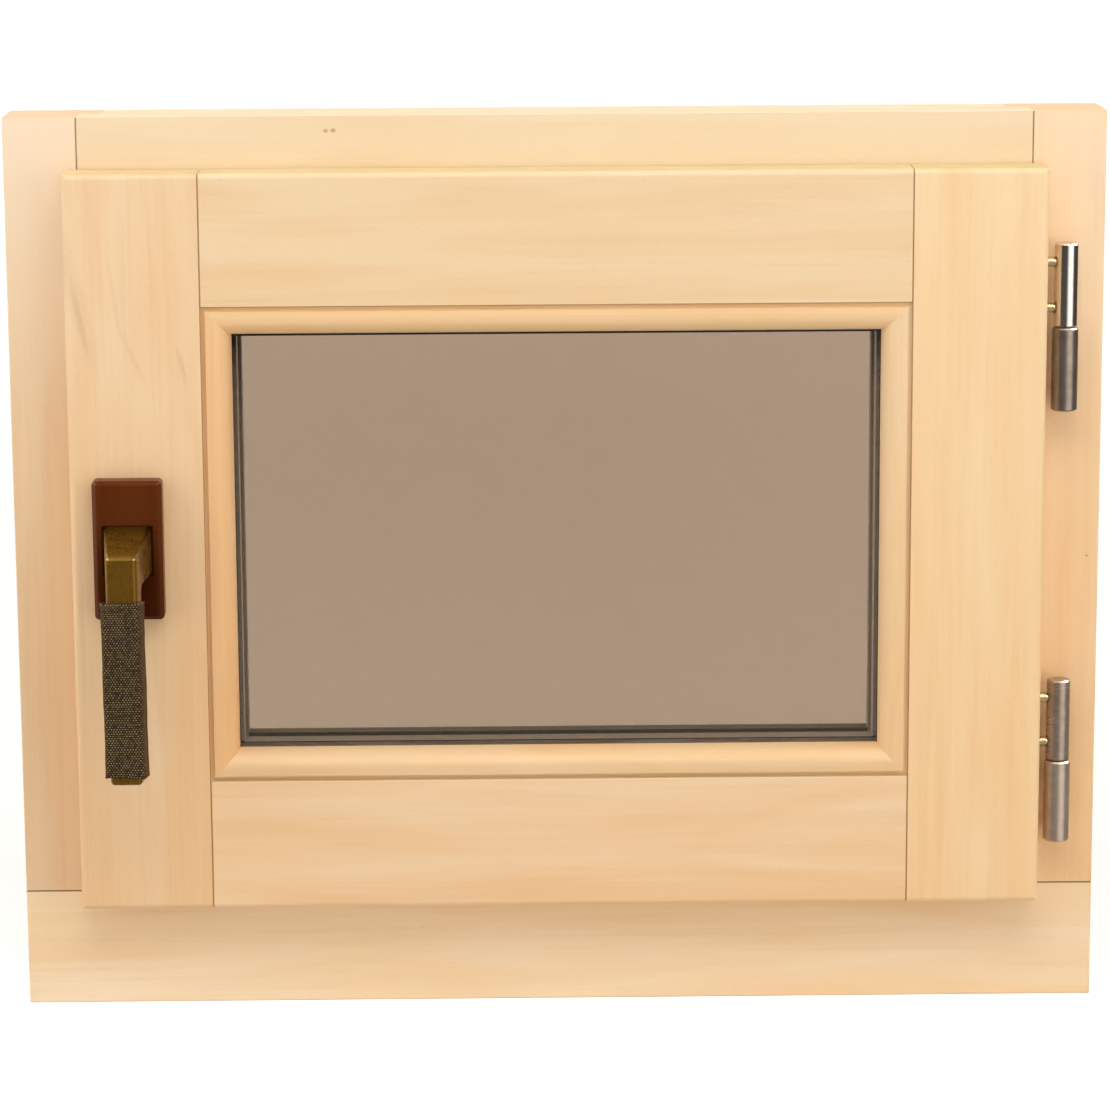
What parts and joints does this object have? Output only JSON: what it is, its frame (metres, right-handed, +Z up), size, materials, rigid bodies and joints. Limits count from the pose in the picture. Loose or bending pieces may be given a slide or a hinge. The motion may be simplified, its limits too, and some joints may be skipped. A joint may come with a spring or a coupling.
{
  "type": "sauna window",
  "caption": "Small timber window for a hot room: box frame, one side-hung double-glazed sash on barrel hinges, and a turning lever handle with a webbing sleeve.",
  "frame": {"origin": "centre of the underside of the sill", "axes": "+X to the right as seen from the room, +Y from the room into the wall, +Z up"},
  "size_m": [0.6, 0.1248, 0.5],
  "materials": {
    "lime_wood": "sanded, unvarnished",
    "seal_rubber": "matt",
    "tinted_glass": "bronze tint",
    "clear_glass": "clear",
    "unit_sealant": "matt",
    "spacer_metal": "dull",
    "satin_nickel": "satin plated",
    "hinge_pins": "threaded, plated",
    "rosette_brown": "glossy",
    "bronze_lever": "satin bronze",
    "spindle_steel": "drawn",
    "woven_webbing": "ribbed weave"
  },
  "bodies": {
    "window": {"left_jamb": "lime_wood", "right_jamb": "lime_wood", "head_rail": "lime_wood", "sill_rail": "lime_wood", "left_stile": "lime_wood", "right_stile": "lime_wood", "sash_top_rail": "lime_wood", "sash_bottom_rail": "lime_wood", "bead_bottom": "lime_wood", "bead_right": "lime_wood", "bead_top": "lime_wood", "bead_left": "lime_wood", "frame_gasket": "seal_rubber", "room_pane": "tinted_glass", "outer_pane": "clear_glass", "edge_sealant": "unit_sealant", "spacer_frame": "spacer_metal", "upper_hinge_sash_barrel": "satin_nickel", "upper_hinge_frame_barrel": "satin_nickel", "upper_hinge_sash_pins": "hinge_pins", "upper_hinge_frame_pins": "hinge_pins", "upper_hinge_pivot": "satin_nickel", "lower_hinge_sash_barrel": "satin_nickel", "lower_hinge_frame_barrel": "satin_nickel", "lower_hinge_sash_pins": "hinge_pins", "lower_hinge_frame_pins": "hinge_pins", "lower_hinge_pivot": "satin_nickel", "handle_rosette": "rosette_brown"},
    "handle": {"handle_lever": "bronze_lever", "handle_spindle": "spindle_steel", "lever_sleeve": "woven_webbing"}
  },
  "joints": [
    {"name": "handle_turn", "type": "hinge", "parent": "window", "child": "handle", "pos_m": [-0.2344, -0.0588, 0.2675], "axis": [0, -1, 0], "range_deg": [0, 90]}
  ]
}
